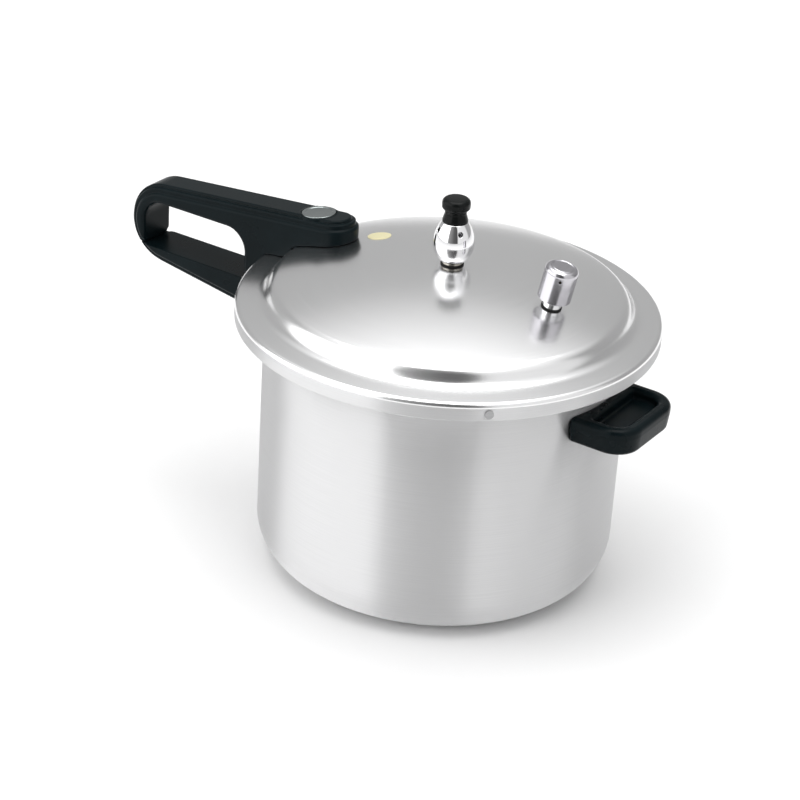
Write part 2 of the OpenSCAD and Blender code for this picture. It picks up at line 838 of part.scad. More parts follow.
module weight_outline() {
    bands = 10;
    up_h = weight_h - belly_h;
    polygon([
        [0, weight_z],
        for (i = [bands : -1 : 1])
            [bulge(weight_base_d / 2, belly_h, belly_h * i / bands), weight_z + belly_h - belly_h * i / bands],
        for (i = [0 : bands])
            [bulge(weight_top_d / 2, up_h, up_h * i / bands), weight_z + belly_h + up_h * i / bands],
        [spigot_r, weight_z + weight_h],
        [spigot_r, weight_z + weight_h + spigot_h],
        [0, weight_z + weight_h + spigot_h]
    ]);
}

module regulator_weight() {
    color([0.86, 0.86, 0.87])
    difference() {
        rotate_extrude() weight_outline();
        translate([0, 0, weight_z - cut]) cylinder(r = weight_cavity_r, h = weight_cavity_h + cut);
        translate([0, 0, weight_z]) cylinder(r = needle_shank_r + fit, h = weight_h + 2);
        for (i = [0 : 3]) rotate([0, 0, steam_azimuth + i * 90])
            translate([0, 0, steam_z]) rotate([0, 90, 0]) cylinder(d = steam_d, h = weight_d, $fn = 32);
    }
}

module regulator_needle() {
    tip_h = 1.6;
    tip_r = pipe_bore_d / 2 - 0.1;
    color([0.72, 0.72, 0.73])
    translate([0, 0, pipe_top_z + weld]) {
        cylinder(r = weight_cavity_r - 0.4, h = needle_collar_t);
        cylinder(r = needle_shank_r, h = weight_z + weight_h + 1.9 - pipe_top_z);
        translate([0, 0, -tip_h]) cylinder(r1 = tip_r * 0.4, r2 = tip_r, h = tip_h + 0.01);
    }
}

module regulator_knob() {
    z0 = weight_z + weight_h + fit;
    head_r = (knob_h - 6.6) / 2;
    head_z = z0 + knob_h - head_r;
    color([0.07, 0.08, 0.08])
    difference() {
        rotate_extrude() {
            polygon([
                [0, z0], [weight_top_d / 2, z0], [weight_top_d / 2, z0 + 1.2],
                [neck_d / 2, z0 + 5.6], [neck_d / 2 + 0.2, head_z - 2], [0, head_z - 2]
            ]);
            translate([knob_d / 2 - head_r, head_z]) circle(r = head_r);
            translate([0, head_z - head_r]) square([knob_d / 2 - head_r, 2 * head_r]);
        }
        translate([0, 0, z0 - cut]) cylinder(r = spigot_r + fit, h = spigot_h + cut + 0.3);
    }
}

// ---------- Safety valve ----------

module safety_body() {
    color([0.72, 0.72, 0.74])
    on_dome(safety_s) difference() {
        union() {
            translate([0, 0, -safety_tail]) cylinder(r = tail_r, h = safety_tail + 2);
            translate([0, 0, washer_t + weld]) cylinder(d = safety_stem_d, h = safety_stem_h);
            translate([0, 0, safety_stem_h]) cylinder(r = chamber_r, h = chamber_top - safety_stem_h);
        }
        translate([0, 0, -safety_tail - cut]) cylinder(r = inlet_r, h = safety_tail + seat_t + 2);
        translate([0, 0, seat_t]) cylinder(r = chamber_bore_r, h = chamber_top);
    }
}

module safety_washer_top() {
    color([0.16, 0.16, 0.16]) on_dome(safety_s) washer(tail_r, 6.2, weld);
}

module safety_washer_bottom() {
    color([0.16, 0.16, 0.16]) on_dome(safety_s) washer(tail_r, 7.5, -under_lid(7.5) - washer_t);
}

module safety_nut() {
    color([0.78, 0.78, 0.79])
    on_dome(safety_s) hex_nut(tail_r, 13, 4, -under_lid(7.5) - washer_t - weld);
}

module safety_plunger() {
    color([0.74, 0.70, 0.55])
    on_dome(safety_s) {
        translate([0, 0, seat_t + weld]) cylinder(r = chamber_bore_r - 0.1, h = plunger_disc_t);
        translate([0, 0, seat_t + weld]) cylinder(r = plunger_stem_r, h = chamber_top - seat_t + 3);
    }
}

// Retainer that screws into the chamber, holds the spring and guides the plunger's stem
module safety_plug() {
    color([0.74, 0.70, 0.55])
    on_dome(safety_s) translate([0, 0, chamber_top - plug_t]) difference() {
        cylinder(r = chamber_bore_r - fit, h = plug_t);
        translate([0, 0, -cut]) cylinder(r = plunger_stem_r + 0.06, h = plug_t + 2 * cut);
        for (a = [0 : 120 : 240]) rotate([0, 0, a]) translate([4.4, 0, -cut])
            cylinder(r = 1, h = plug_t + 2 * cut, $fn = 24);
    }
}

// Points of the wire's section at step i along the spring
function spring_ring(i) = let (
        a = 360 * spring_turns * i / spring_steps,
        z = spring_low + (spring_high - spring_low) * i / spring_steps
    ) [for (k = [0 : spring_sides - 1]) let (
        b = 360 * k / spring_sides,
        r = spring_r + spring_wire_r * cos(b)
    ) [r * cos(a), r * sin(a), z + spring_wire_r * sin(b)]];

module safety_spring() {
    n = spring_sides;
    points = [for (i = [0 : spring_steps]) each spring_ring(i)];
    sides = [for (i = [0 : spring_steps - 1], k = [0 : n - 1])
        [i * n + k, i * n + (k + 1) % n, (i + 1) * n + (k + 1) % n, (i + 1) * n + k]];
    first = [for (k = [0 : n - 1]) n - 1 - k];
    last = [for (k = [0 : n - 1]) spring_steps * n + k];
    color([0.68, 0.68, 0.70])
    on_dome(safety_s) polyhedron(points, concat([first, last], sides));
}

module safety_cap() {
    z0 = safety_stem_h + 0.1;
    top = safety_stem_h + safety_h;
    color([0.80, 0.80, 0.82])
    on_dome(safety_s) difference() {
        rotate_extrude() difference() {
            union() {
                translate([0, z0]) square([safety_d / 2, top - cap_round_r - z0]);
                translate([0, top - cap_round_r - cut]) square([safety_d / 2 - cap_round_r, cap_round_r + cut]);
                translate([safety_d / 2 - cap_round_r, top - cap_round_r]) circle(r = cap_round_r);
            }
            translate([-cut, z0 - cut]) square([chamber_r + 2 * fit + cut, top - cap_top_t - z0 + cut]);
        }
        for (i = [0 : 3]) rotate([0, 0, outlet_azimuth + i * 90])
            translate([0, 0, top - cap_round_r - 2.6]) rotate([0, 90, 0])
                cylinder(r = outlet_r, h = safety_d, $fn = 24);
    }
}

pot_body();
handle_bracket();
handle_bracket_rivets();
lower_handle();
lower_handle_screw();
helper_bracket();
helper_bracket_rivets();
helper_handle();
helper_screw();
lid_shell();
lid_stop_pin();
lid_gasket();
badge();
upper_handle();
handle_stud();
handle_screw();
handle_cap();
vent_pipe();
vent_washer_top();
vent_washer_bottom();
vent_nut();
vent_strainer();
regulator_needle();
regulator_weight();
regulator_knob();
safety_body();
safety_washer_top();
safety_washer_bottom();
safety_nut();
safety_plunger();
safety_spring();
safety_plug();
safety_cap();
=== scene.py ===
import math

import bmesh
import bpy
import numpy as np
from mathutils import Matrix, Vector


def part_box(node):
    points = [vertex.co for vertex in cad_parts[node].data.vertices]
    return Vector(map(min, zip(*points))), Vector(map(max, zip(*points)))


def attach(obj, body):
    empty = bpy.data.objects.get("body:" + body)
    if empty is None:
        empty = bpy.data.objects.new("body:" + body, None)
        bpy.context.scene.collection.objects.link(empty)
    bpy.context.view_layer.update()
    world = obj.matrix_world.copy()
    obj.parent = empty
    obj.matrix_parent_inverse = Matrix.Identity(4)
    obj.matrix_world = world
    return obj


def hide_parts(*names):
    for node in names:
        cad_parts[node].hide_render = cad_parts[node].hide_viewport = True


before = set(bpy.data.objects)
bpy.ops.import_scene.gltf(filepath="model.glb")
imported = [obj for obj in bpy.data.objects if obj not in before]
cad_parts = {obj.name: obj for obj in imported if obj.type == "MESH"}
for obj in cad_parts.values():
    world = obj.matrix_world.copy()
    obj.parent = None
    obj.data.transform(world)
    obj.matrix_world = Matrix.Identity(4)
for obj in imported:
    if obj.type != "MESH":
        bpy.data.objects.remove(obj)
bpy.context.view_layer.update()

# ---------- Sizes, in metres, from the frame and the part's own dimensions ----------
MM = 0.001
POT_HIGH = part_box("pot_body")[1]
LID_LOW, LID_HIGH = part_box("lid_shell")

# Pot: wall, floor and the bead at its rim
POT_H = POT_HIGH.z
POT_R = 110 * MM
POT_WALL = 2.2 * MM
POT_FLOOR = 3 * MM
POT_CORNER = 26.5 * MM
BEAD_R = POT_R + 4.5 * MM

# Bayonet lugs: the stop pin on the lid's skirt rests against the end of the first one
POT_LUG_R = 121.5 * MM
LUG_T = 3.5 * MM
LUG_COUNT = 6
LUG_HALF = math.radians(13)
STOP_AZ = math.radians(-47)
STOP_PIN_R = 1.6 * MM
STOP_GAP = math.radians(0.3)
LUG_PHASE = STOP_AZ - math.asin(STOP_PIN_R / POT_LUG_R) - STOP_GAP - LUG_HALF

# Lid, from the skirt up over the flange, the raised wall and the dome
LID_WALL = 2.2 * MM
SKIRT_R = POT_R + 17.7 * MM
SKIRT_Z = LID_LOW.z
LID_LUG_R = 115.5 * MM
LID_LUG_T = 2.7 * MM
EDGE_R = 3 * MM
APEX_Z = LID_HIGH.z
DOME_RISE = 16 * MM
SHOULDER_Z = APEX_Z - DOME_RISE
FOOT_Z = SHOULDER_Z - 8.9 * MM
FLANGE_Z = FOOT_Z - 1.9 * MM
FOOT_R = POT_R + 0.9 * MM
SHOULDER_R = FOOT_R - 4.6 * MM
DOME_R = (SHOULDER_R ** 2 + DOME_RISE ** 2) / (2 * DOME_RISE)
FOOT_ROUND = 9 * MM
SHOULDER_ROUND = 11.5 * MM


def dome_z(r):
    """Height of the dome's outside at radius r."""
    return APEX_Z - DOME_R + np.sqrt(DOME_R ** 2 - r * r)


def on_dome(s, azimuth=0.0):
    """Matrix of a frame on the dome at distance s, its Z along the surface's normal."""
    tilt = math.asin(s / DOME_R)
    return (Matrix.Rotation(azimuth, 4, "Z") @ Matrix.Translation((s, 0, float(dome_z(s))))
            @ Matrix.Rotation(tilt, 4, "Y"))


# ---------- Materials ----------
class Nodes:
    """A short way to build a node tree."""

    def __init__(self, tree, shader):
        self.tree = tree
        self.shader = tree.nodes[shader]

    def add(self, kind, **values):
        """Add a node. A name that starts with _ is one of its properties, any other is an input."""
        node = self.tree.nodes.new(kind)
        for key, value in values.items():
            if key.startswith("_"):
                setattr(node, key[1:], value)
            else:
                node.inputs[key.replace("__", " ")].default_value = value
        return node

    def link(self, a, b):
        self.tree.links.new(a, b)

    def maths(self, operation, a, b):
        """Result of a Math node; a and b are each a socket or a number."""
        node = self.add("ShaderNodeMath", _operation=operation)
        for socket, value in zip(node.inputs, (a, b)):
            if isinstance(value, (int, float)):
                socket.default_value = value
            else:
                self.link(value, socket)
        return node.outputs[0]

    def ramp(self, factor, stops):
        """Colour ramp through stops of (position, colour)."""
        node = self.add("ShaderNodeValToRGB")
        elements = node.color_ramp.elements
        while len(elements) < len(stops):
            elements.new(0.5)
        for element, (at, colour) in zip(elements, stops):
            element.position = at
            element.color = (*colour, 1)
        self.link(factor, node.inputs["Fac"])
        return node.outputs["Color"]

    def set(self, **values):
        """Set constant inputs of the shader."""
        for key, value in values.items():
            self.shader.inputs[key.replace("__", " ")].default_value = value


def new_material(name):
    mat = bpy.data.materials.new(name)
    mat.use_nodes = True
    return mat, Nodes(mat.node_tree, "Principled BSDF")


def grey(v):
    return (v, v, v)


def even_noise(n, scale, detail):
    """Noise in the object's own space, the same in every direction."""
    coords = n.add("ShaderNodeTexCoord")
    noise = n.add("ShaderNodeTexNoise", Scale=scale, Detail=detail, Roughness=0.55)
    n.link(coords.outputs["Object"], noise.inputs["Vector"])
    return noise.outputs["Fac"]


ARC_SCALE = 2.0


def lathe_marks(n, fine):
    """Noise in lines round the Z axis: fine along radius and height, long along the arc."""
    coords = n.add("ShaderNodeTexCoord")
    split = n.add("ShaderNodeSeparateXYZ")
    n.link(coords.outputs["Object"], split.inputs[0])
    x, y, z = (split.outputs[axis] for axis in "XYZ")
    flat = n.add("ShaderNodeCombineXYZ")
    n.link(x, flat.inputs["X"])
    n.link(y, flat.inputs["Y"])
    radius = n.add("ShaderNodeVectorMath", _operation="LENGTH")
    n.link(flat.outputs[0], radius.inputs[0])
    joined = n.add("ShaderNodeCombineXYZ")
    parts = {"X": (n.maths("ARCTAN2", y, x), ARC_SCALE), "Y": (radius.outputs["Value"], fine), "Z": (z, fine)}
    for axis, (source, scale) in parts.items():
        n.link(n.maths("MULTIPLY", source, scale), joined.inputs[axis])
    noise = n.add("ShaderNodeTexNoise", Scale=1.0, Detail=4, Roughness=0.65)
    n.link(joined.outputs[0], noise.inputs["Vector"])
    return noise.outputs["Fac"]


def bump(n, height, strength, distance):
    node = n.add("ShaderNodeBump", Strength=strength, Distance=distance)
    n.link(height, node.inputs["Height"])
    n.link(node.outputs["Normal"], n.shader.inputs["Normal"])


MARK_DEPTH = 0.0002
SKIN_DEPTH = 0.0001
PLASTIC_IOR = 1.5


def metal(name, colour, rough, aniso=0.0, marks=1500.0, spread=0.04, relief=0.02, shade=0.03, body=1.0):
    """Metal with turning marks: its roughness and tone vary in fine rings."""
    mat, n = new_material(name)
    n.set(Metallic=body, Anisotropic=aniso, Specular__IOR__Level=0.5)
    lines = lathe_marks(n, marks)
    low = [max(c - shade, 0) for c in colour]
    high = [min(c + shade, 1) for c in colour]
    smooth, dull = grey(max(rough - spread, 0.02)), grey(rough + spread)
    n.link(n.ramp(lines, [(0.3, low), (0.7, high)]), n.shader.inputs["Base Color"])
    n.link(n.ramp(lines, [(0.25, smooth), (0.75, dull)]), n.shader.inputs["Roughness"])
    if aniso:
        n.set(Anisotropic__Rotation=0.25)
        tangent = n.add("ShaderNodeTangent", _direction_type="RADIAL", _axis="Z")
        n.link(tangent.outputs[0], n.shader.inputs["Tangent"])
    bump(n, lines, relief, MARK_DEPTH)
    return mat


def moulded(name, colour, rough, relief=0.05, grain=900.0, shine=0.14):
    """Moulded plastic or rubber: faint flow marks in the colour, a fine skin in the surface."""
    mat, n = new_material(name)
    n.set(Specular__IOR__Level=shine, IOR=PLASTIC_IOR)
    flow = even_noise(n, 35, 4)
    low = [c * 0.75 for c in colour]
    high = [c * 1.25 for c in colour]
    smooth, dull = grey(rough - 0.05), grey(rough + 0.05)
    n.link(n.ramp(flow, [(0.3, low), (0.7, high)]), n.shader.inputs["Base Color"])
    n.link(n.ramp(flow, [(0.3, smooth), (0.7, dull)]), n.shader.inputs["Roughness"])
    bump(n, even_noise(n, grain, 2), relief, SKIN_DEPTH)
    return mat


MAT = {
    "pot": metal("brushed_aluminium", (0.76, 0.76, 0.765), 0.45, aniso=1.0, marks=2500, relief=0.05),
    "lid": metal("polished_aluminium", (0.90, 0.90, 0.905), 0.21, marks=1200, spread=0.02, relief=0.01,
                 shade=0.01),
    "steel": metal("zinc_steel", (0.62, 0.63, 0.65), 0.30, marks=900),
    "rivet": metal("rivet_aluminium", (0.78, 0.78, 0.79), 0.25, marks=900),
    "pin": metal("pin_aluminium", (0.38, 0.38, 0.385), 0.40, marks=900),
    "screw": metal("plated_steel", (0.72, 0.72, 0.74), 0.20, marks=900),
    "disc": metal("polished_steel", (0.32, 0.35, 0.35), 0.16),
    "chrome": metal("chrome_plate", (0.90, 0.90, 0.91), 0.04, spread=0.01, relief=0.0, shade=0.005),
    "cap": metal("safety_chrome", (0.58, 0.57, 0.60), 0.16, spread=0.03, relief=0.0),
    "nickel": metal("nickel_brass", (0.42, 0.40, 0.36), 0.25),
    "brass": metal("turned_brass", (0.72, 0.56, 0.28), 0.22),
    "badge": metal("gold_foil", (0.86, 0.80, 0.50), 0.45, body=0.45),
    "spring": metal("spring_wire", (0.55, 0.55, 0.57), 0.25, marks=900),
    "phenolic": moulded("black_phenolic", (0.0030, 0.0070, 0.0085), 0.30, shine=0.085),
    "knob": moulded("black_knob", (0.004, 0.005, 0.005), 0.25),
    "silicone": moulded("white_silicone", (0.72, 0.72, 0.70), 0.45, shine=0.4),
    "rubber": moulded("black_rubber", (0.02, 0.02, 0.02), 0.55),
}


# ---------- Mesh makers ----------
ON_AXIS = 1e-9
SHARP_FROM = math.radians(35)


def make_object(name, verts, faces, material, normals=None):
    """New smooth-shaded object, with its own vertex normals if they are given."""
    mesh = bpy.data.meshes.new(name)
    mesh.from_pydata([tuple(v) for v in verts], [], [tuple(f) for f in faces])
    mesh.materials.append(material)
    mesh.shade_smooth()
    if normals is not None:
        mesh.normals_split_custom_set_from_vertices([tuple(v) for v in normals])
    mesh.update()
    obj = bpy.data.objects.new(name, mesh)
    bpy.context.scene.collection.objects.link(obj)
    return obj


def filleted(points, steps=5):
    """Outline with each corner (r, z, radius) rounded; a corner without a radius stays sharp."""
    out = []
    count = len(points)
    for i, point in enumerate(points):
        radius = point[2] if len(point) > 2 else 0
        corner = Vector(point[:2])
        if not radius:
            out.append(tuple(corner))
            continue
        before = Vector(points[i - 1][:2]) - corner
        after = Vector(points[(i + 1) % count][:2]) - corner
        half = before.angle(after) / 2
        reach = min(radius / math.tan(half), 0.49 * before.length, 0.49 * after.length)
        radius = reach * math.tan(half)
        start = corner + before.normalized() * reach
        end = corner + after.normalized() * reach
        centre = corner + (before.normalized() + after.normalized()).normalized() * (radius / math.sin(half))
        a0 = math.atan2(start.y - centre.y, start.x - centre.x)
        a1 = math.atan2(end.y - centre.y, end.x - centre.x)
        turn = (a1 - a0 + math.pi) % (2 * math.pi) - math.pi
        for k in range(steps + 1):
            a = a0 + turn * k / steps
            out.append((centre.x + radius * math.cos(a), centre.y + radius * math.sin(a)))
    return out


def arc_points(cx, cz, radius, a0, a1, steps):
    """Points on an arc, angles in degrees from +r towards +z."""
    angles = [math.radians(a0 + (a1 - a0) * k / steps) for k in range(steps + 1)]
    return [(cx + radius * math.cos(a), cz + radius * math.sin(a)) for a in angles]


def even_angles(count):
    return [2 * math.pi * k / count for k in range(count)]


def lathe(name, outline, material, turns, place=None):
    """Closed solid of revolution round Z, at the angles in turns. outline is a list of (r, z), or a
    function that gives one for each angle. Points on the axis become one vertex."""
    rings = [outline(a) if callable(outline) else outline for a in turns]
    count = len(rings[0])
    verts = []
    index = {}
    for k, a in enumerate(turns):
        for i, (r, z) in enumerate(rings[k]):
            if abs(r) < ON_AXIS:
                if (0, i) not in index:
                    index[(0, i)] = len(verts)
                    verts.append((0.0, 0.0, z))
                index[(k, i)] = index[(0, i)]
            else:
                index[(k, i)] = len(verts)
                verts.append((r * math.cos(a), r * math.sin(a), z))
    faces = []
    for k in range(len(turns)):
        nk = (k + 1) % len(turns)
        for i in range(count):
            ni = (i + 1) % count
            quad = [index[(k, i)], index[(nk, i)], index[(nk, ni)], index[(k, ni)]]
            face = [v for j, v in enumerate(quad) if v != quad[j - 1]]
            if len(face) > 2:
                faces.append(face)
    obj = make_object(name, verts, faces, material)
    clean(obj.data)
    if place is not None:
        obj.data.transform(place)
    return obj


def clean(mesh):
    """Faces all outwards, and only real corners shaded sharp."""
    bm = bmesh.new()
    bm.from_mesh(mesh)
    bmesh.ops.recalc_face_normals(bm, faces=bm.faces)
    bm.to_mesh(mesh)
    bm.free()
    mesh.set_sharp_from_angle(angle=SHARP_FROM)


def round_max(a, b, r):
    """Intersection of two distance fields with the corner rounded to radius r."""
    return np.minimum(np.maximum(a, b), -r) + np.hypot(np.maximum(a + r, 0), np.maximum(b + r, 0))


def round_min(a, b, r):
    """Union of two distance fields with the inner corner filled to radius r."""
    return -round_max(-a, -b, r)


def carve(a, b, r):
    """Field a with field b cut out of it, the new edge rounded to radius r."""
    return round_max(a, -b, r)


def field_mesh(name, field, low, high, cell, material):
    """Closed mesh of the surface where field(x, y, z) is zero, one vertex for each cell it crosses.
    The field, its box and its cell are in millimetres."""
    low, high = np.array(low, float), np.array(high, float)
    size = np.ceil((high - low) / cell).astype(int) + 1
    axes = [low[i] + cell * np.arange(size[i]) for i in range(3)]
    grid = field(*np.meshgrid(*axes, indexing="ij"))
    inside = grid < 0
    cells = size - 1
    total = np.zeros(cells)
    place = np.zeros((*cells, 3))
    quads = []
    for axis in range(3):
        b, c = (axis + 1) % 3, (axis + 2) % 3
        head = [slice(None)] * 3
        tail = [slice(None)] * 3
        head[axis], tail[axis] = slice(0, -1), slice(1, None)
        v0, v1 = grid[tuple(head)], grid[tuple(tail)]
        cross = inside[tuple(head)] != inside[tuple(tail)]
        part = np.where(cross, v0 / np.where(cross, v0 - v1, 1), 0)
        for db in (0, 1):
            for dc in (0, 1):
                pick = [slice(None)] * 3
                pick[b] = slice(db, db + cells[b])
                pick[c] = slice(dc, dc + cells[c])
                hit = cross[tuple(pick)]
                total += hit
                place[..., axis] += part[tuple(pick)]
                place[..., b] += hit * db
                place[..., c] += hit * dc
        inner = [slice(None)] * 3
        inner[b] = slice(1, -1)
        inner[c] = slice(1, -1)
        at = np.argwhere(cross[tuple(inner)])
        at[:, b] += 1
        at[:, c] += 1
        quads.append((axis, b, c, at, inside[tuple(at.T)]))
    used = total > 0
    number = -np.ones(cells, int)
    number[used] = np.arange(used.sum())
    corner = np.argwhere(used)
    points = low + cell * (corner + place[used] / total[used][:, None])
    faces = []
    for axis, b, c, at, inner_first in quads:
        ring = []
        for db, dc in ((0, 0), (-1, 0), (-1, -1), (0, -1)):
            cellat = at.copy()
            cellat[:, b] += db
            cellat[:, c] += dc
            ring.append(number[tuple(cellat.T)])
        ring = np.stack(ring, 1)
        ring[~inner_first] = ring[~inner_first][:, ::-1]
        faces.append(ring)
    faces = np.concatenate(faces)
    for _ in range(3):
        value, slope = gradient(field, points, cell * 0.05)
        step = value[:, None] * slope / np.maximum((slope ** 2).sum(1), 0.25)[:, None]
        points -= np.clip(step, -cell / 2, cell / 2)
    _, slope = gradient(field, points, cell * 0.3)
    normals = slope / np.maximum(np.linalg.norm(slope, axis=1), 1e-9)[:, None]
    return make_object(name, (points * MM).tolist(), faces.tolist(), material, normals.tolist())


def gradient(field, points, step):
    """Value and slope of a field at each point, by central differences."""
    value = field(*points.T)
    slope = np.stack([(field(*(points + step * axis).T) - field(*(points - step * axis).T)) / (2 * step)
                      for axis in np.eye(3)], 1)
    return value, slope


def keep(obj, body, slot, *nodes):
    """Attach a piece to the body it rides and hide the CAD nodes it replaces; its material slot is not used.
    """
    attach(obj, body)
    if nodes:
        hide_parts(*nodes)
    return obj


# ---------- Pot ----------
LATHE_TURNS = 288
LUG_RAMP = 0.003
LUG_END_TURNS = (-0.004, -0.0015, 0.0015, 0.004)
# The base is dished inside a ring that nearly touches the floor
BASE_RING_IN = 5 * MM
BASE_RING_W = 0.6 * MM
BASE_DISH = 0.8 * MM
BASE_GAP = 0.05 * MM
WALL_STEPS = 24
RIM_ROUND = 0.7 * MM
MOUTH_ROUND = 0.8 * MM
FLOOR_FLAT_R = 40 * MM


def lug_angles():
    """Angles round the axis, with close ones at each end of each lug."""
    turns = {round(a, 6) for a in even_angles(LATHE_TURNS)}
    for i in range(LUG_COUNT):
        for end in (-LUG_HALF, LUG_HALF):
            for side in LUG_END_TURNS:
                turns.add(round((LUG_PHASE + 2 * math.pi * i / LUG_COUNT + end + side) % (2 * math.pi), 6))
    return sorted(turns)


def in_lug(a):
    """1 inside a lug, 0 between lugs, with a short ramp at each end."""
    pitch = 2 * math.pi / LUG_COUNT
    off = abs((a - LUG_PHASE + pitch / 2) % pitch - pitch / 2)
    return min(max((LUG_HALF - off) / LUG_RAMP + 0.5, 0), 1)


def pot_outline(a):
    """Outline at angle a: base, outer wall, rim with or without a lug, inner wall, floor."""
    rim_r = BEAD_R + (POT_LUG_R - BEAD_R) * in_lug(a)
    bend_r = POT_R - POT_CORNER
    inner = POT_R - POT_WALL
    in_corner = POT_CORNER - POT_WALL
    rim_low = POT_H - LUG_T
    ring_r = bend_r - BASE_RING_IN
    out = [(0, BASE_DISH), (ring_r, BASE_DISH), (ring_r + BASE_RING_W, BASE_GAP)]
    out += arc_points(bend_r, POT_CORNER, POT_CORNER, -90, 0, 24)
    for k in range(1, WALL_STEPS + 1):
        out.append((POT_R, POT_CORNER + (rim_low - POT_CORNER) * k / WALL_STEPS))
    out += filleted([(POT_R, rim_low), (rim_r, rim_low, RIM_ROUND), (rim_r, POT_H, RIM_ROUND),
                     (inner, POT_H, MOUTH_ROUND), (inner, POT_H - 6 * MM)], 4)[1:]
    out.append((inner, POT_FLOOR + in_corner + 60 * MM))
    out += arc_points(inner - in_corner, POT_FLOOR + in_corner, in_corner, 0, -90, 20)
    out += [(FLOOR_FLAT_R, POT_FLOOR), (0, POT_FLOOR)]
    return out


pot = lathe("pot", pot_outline, MAT["pot"], lug_angles())
keep(pot, "pot", "pot_aluminium", "pot_body")


# ---------- Lid ----------
# Hole for the vent pipe, where the dome's arc starts, and the edges of the lugs inside the skirt
VENT_HOLE_R = 5.05 * MM
DOME_END_IN = 10 * MM
INNER_ROUND = 1 * MM
LUG_EDGE = 0.5 * MM
LUG_EDGE_LOW = 0.3 * MM
NO_LUG_DROP = 0.9 * MM
# The skirt is brushed like the pot from this far below the flange
BRUSHED_BELOW = 3.6 * MM


def lid_outline(a):
    """Outline at angle a: skirt, flange, raised wall, dome, and back along the inside to the lug."""
    lug = in_lug(a)
    wall_r = SKIRT_R - LID_WALL
    lug_r = wall_r + (LID_LUG_R - wall_r) * lug
    lug_top = SKIRT_Z + LID_LUG_T
    inner_shoulder = SHOULDER_R - LID_WALL * 1.1
    near = SHOULDER_R - 8 * MM
    top = filleted([
        (SKIRT_R, SKIRT_Z, 0.9 * MM), (SKIRT_R, FLANGE_Z - 0.2 * MM, EDGE_R),
        (FOOT_R, FOOT_Z, FOOT_ROUND), (SHOULDER_R, SHOULDER_Z, SHOULDER_ROUND),
        (near, float(dome_z(near))),
    ], 8)
    dome = [(r, float(dome_z(r))) for r in np.linspace(SHOULDER_R - DOME_END_IN, VENT_HOLE_R, 40)]
    under = [(r, float(dome_z(r)) - LID_WALL) for r in np.linspace(VENT_HOLE_R, inner_shoulder, 36)]
    inside = filleted([
        (inner_shoulder, float(dome_z(inner_shoulder)) - LID_WALL),
        (FOOT_R - LID_WALL, FOOT_Z - LID_WALL * 0.95, INNER_ROUND),
        (wall_r, FLANGE_Z - LID_WALL, INNER_ROUND),
        (wall_r, lug_top + 1 * MM),
    ], 4)[1:]
    drop = (1 - lug) * NO_LUG_DROP
    lugs = [(wall_r, lug_top + LUG_EDGE_LOW),
            (lug_r + LUG_EDGE * lug, lug_top - drop),
            (lug_r, lug_top - LUG_EDGE - drop),
            (lug_r, SKIRT_Z + LUG_EDGE),
            (lug_r + LUG_EDGE * lug, SKIRT_Z + 0.02 * MM + (1 - lug) * LUG_EDGE_LOW)]
    return top + dome + under + inside + lugs


lid = lathe("lid", lid_outline, MAT["lid"], lug_angles())
lid.data.materials.append(MAT["pot"])
for face in lid.data.polygons:
    if face.center.z < FLANGE_Z - BRUSHED_BELOW and face.center.xy.length > SKIRT_R - 1 * MM:
        face.material_index = 1
keep(lid, "lid", "lid_aluminium", "lid_shell")


# ---------- Long handle: fields in millimetres, s outwards from the axis ----------
# Slopes of the top edge and the underside, and the ends, bar and corner radii of the loop
SLOPE = math.radians(5.4)
UNDER = math.radians(8.6)
TIP_S, END_S, TIP_TOP = 70.0, 234.0, 202.65
END_TOP_R, END_LOW_R = 26.0, 27.5
BAR_T = 12.0
PARTING = 147.1
# Lid screw, with the disc's recess, the boss round it and the screw's well below
SCREW_S = 97.0
CAP_R = 10.5
CAP_DEPTH = 1.2
CAP_GAP = 0.1
BOSS_WALL = 1.2
WELL_R = 4.8
# The three steps of the section: widths, drops below the top step, and edge radii
HANDLE_W, SHELF_W, STRIP_W = 28.0, 24.0, 19.0
BODY_DROP, SHELF_DROP = 5.0, 2.0
BODY_EDGE, STRIP_EDGE = 2.2, 1.4
# Clearance to other pieces, the column at the finger hole's inner end, and the hole's radii
SEAT = 0.3
COLUMN_T = 15.0
HOLE_IN_R, HOLE_OUT_R, HOLE_EDGE = 14.0, 13.0, 2.6
# Below this height the lid's outside is its skirt alone
SKIRT_ONLY_BELOW = 150.0
# Width of the shoulder's round, inwards from its corner
SHOULDER_REACH = 5.0
HANDLE_CELL = 0.7


def line(ns, nz, s, z):
    """Half plane with outward normal (ns, nz) through the point (s, z)."""
    return ns, nz, ns * s + nz * z


def corner(s, z, a, b, r):
    """Distance to the wedge between half planes a and b, its corner rounded to radius r."""
    det = a[0] * b[1] - a[1] * b[0]
    ca, cb = a[2] - r, b[2] - r
    cs, cz = (ca * b[1] - cb * a[1]) / det, (a[0] * cb - b[0] * ca) / det
    us, uz = s - cs, z - cz
    ka = (us * b[1] - uz * b[0]) / det
    kb = (a[0] * uz - a[1] * us) / det
    flat = np.maximum(a[0] * s + a[1] * z - a[2], b[0] * s + b[1] * z - b[2])
    return np.where((ka > 0) & (kb > 0), np.hypot(us, uz) - r, flat)


def top_z(s):
    """Height of the handle's top edge at distance s."""
    return TIP_TOP - (s - TIP_S) * math.tan(SLOPE)


